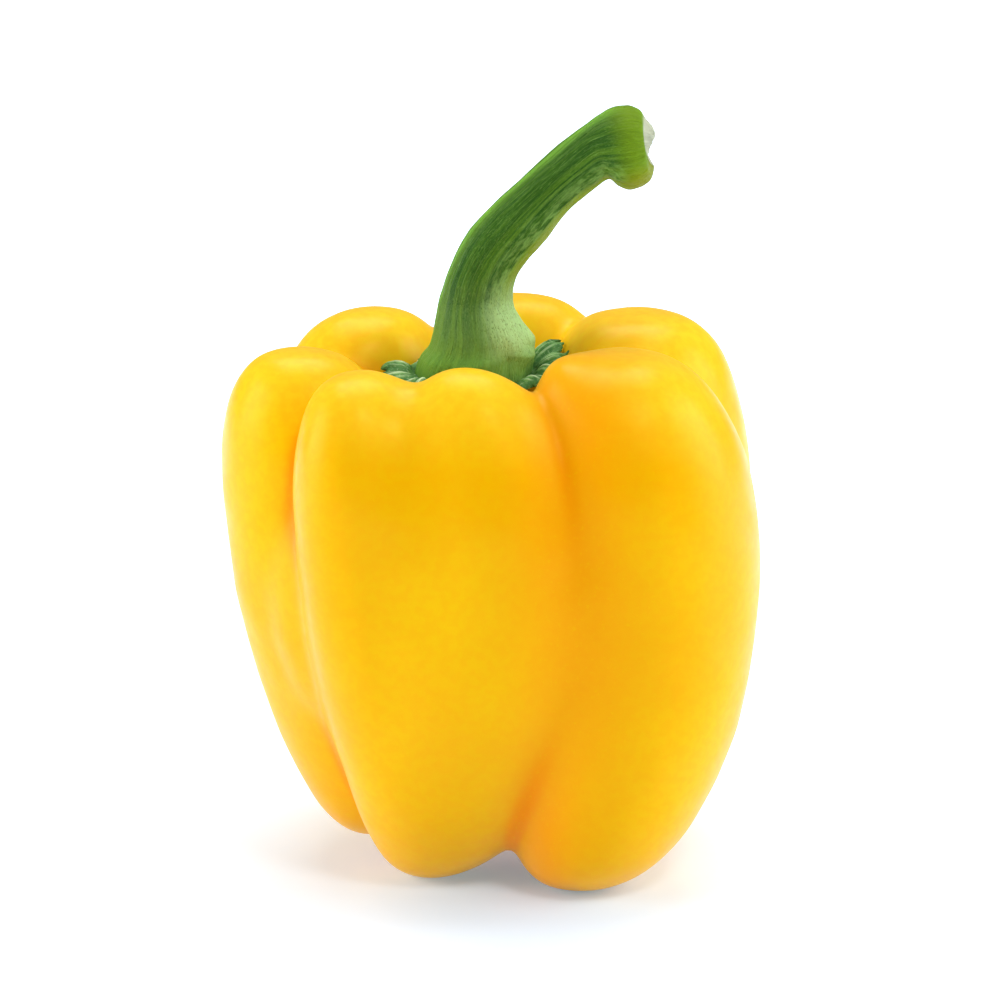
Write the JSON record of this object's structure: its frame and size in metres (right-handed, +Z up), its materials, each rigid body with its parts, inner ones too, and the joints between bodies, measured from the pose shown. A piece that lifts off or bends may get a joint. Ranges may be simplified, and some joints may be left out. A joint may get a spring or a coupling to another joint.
{
  "type": "bell pepper",
  "caption": "Whole yellow bell pepper standing upright on its lobes, with its green calyx in the hollow of the crown and a bent, cut stem.",
  "frame": {"origin": "bottom centre of the pepper's box, on the surface it stands on", "axes": "+Z up through the fruit to the stem, +X to the side the stem bends to, -Y towards the front, where the two widest lobes meet in the middle"},
  "size_m": [0.0814, 0.073, 0.1156],
  "materials": {
    "skin": "smooth waxy yellow skin, satin to glossy, deeper orange in the creases",
    "calyx": "matt dark green leaf, pleated, with paler crests",
    "stem": "matt mid green, finely striated along its length, paler and fuzzy at the base and at the cut"
  },
  "bodies": {
    "root": {"fruit": "skin", "calyx": "calyx", "stem": "stem"}
  },
  "joints": []
}
